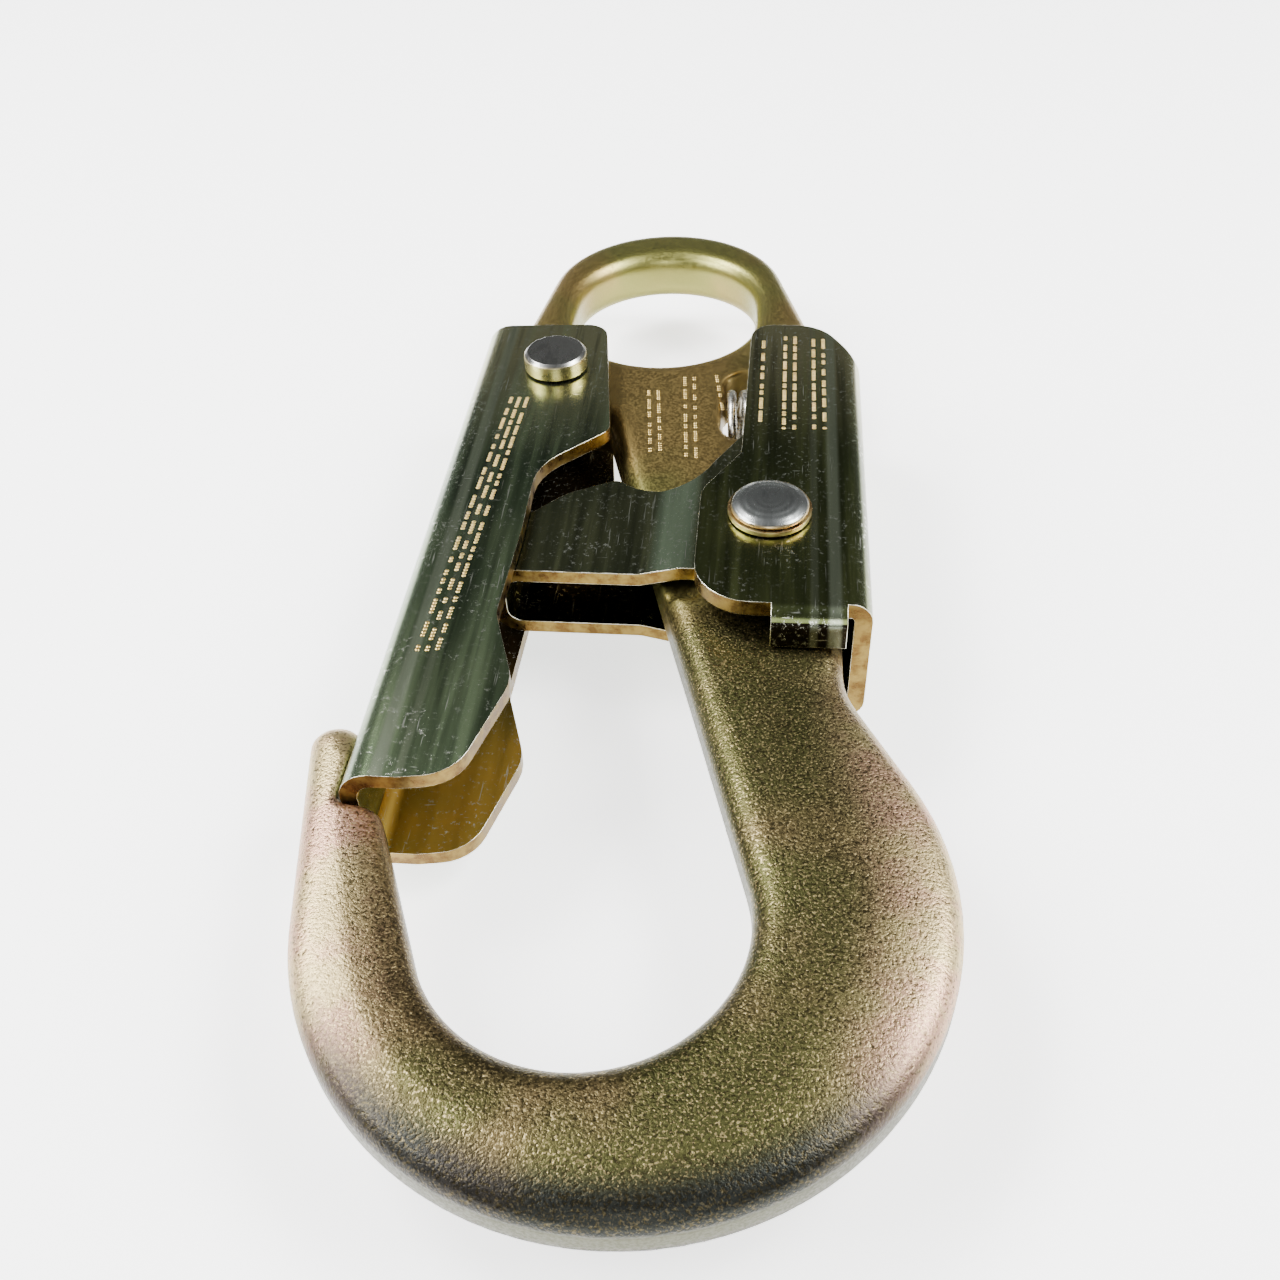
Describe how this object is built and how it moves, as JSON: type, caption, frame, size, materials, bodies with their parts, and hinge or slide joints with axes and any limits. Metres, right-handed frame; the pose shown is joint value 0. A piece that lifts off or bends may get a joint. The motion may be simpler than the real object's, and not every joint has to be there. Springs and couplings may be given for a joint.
{
  "type": "snap hook",
  "caption": "Double-locking steel snap hook with a sprung gate, a sprung lock lever and an attachment eye, zinc plated with a yellow chromate finish",
  "frame": {"origin": "middle of the assembly's box in X and Y, on the plane that the rear rivet head touches", "axes": "X across the hook, +Y from the bowl to the eye, +Z out of the front face"},
  "size_m": [0.0554, 0.1354, 0.0182],
  "materials": {
    "forged_chromate": "yellow chromate over a shot-blasted forging, fine sparkling grain",
    "sheet_chromate": "glossy olive-green chromate on pressed sheet, lightly scratched",
    "bright_rivet": "bright spun rivet head",
    "grey_rivet": "grey upset rivet head with a gold wall",
    "washer_gold": "gold chromate ring",
    "spring_wire": "bright drawn spring wire"
  },
  "bodies": {
    "hook": {"hook_body": "forged_chromate", "gate_rivet": "grey_rivet", "lock_rivet": "bright_rivet", "lock_washer_front": "washer_gold", "lock_washer_rear": "washer_gold", "lock_spring": "spring_wire"},
    "gate": {"gate": "sheet_chromate", "gate_spring": "spring_wire"},
    "lock": {"lock_lever": "sheet_chromate", "lock_pawl": "sheet_chromate"}
  },
  "joints": [
    {"name": "lever_hinge", "type": "hinge", "parent": "hook", "child": "lock", "pos_m": [0.01194, -0.0002, 0.0091], "axis": [0, 0, 1], "range_deg": [0, 7], "stiffness_Nm_per_rad": 1, "springref_deg": -11.46, "deforming": ["lock_spring"]},
    {"name": "gate_hinge", "type": "hinge", "parent": "hook", "child": "gate", "pos_m": [-0.01316, 0.0279, 0.0091], "axis": [0, 0, 1], "range_deg": [0, 18], "stiffness_Nm_per_rad": 0.15, "springref_deg": -34.38, "deforming": ["gate_spring"]}
  ],
  "couplings": [
    {"joint": "gate_hinge", "follows": "lever_hinge", "ratio": 2.5714}
  ]
}
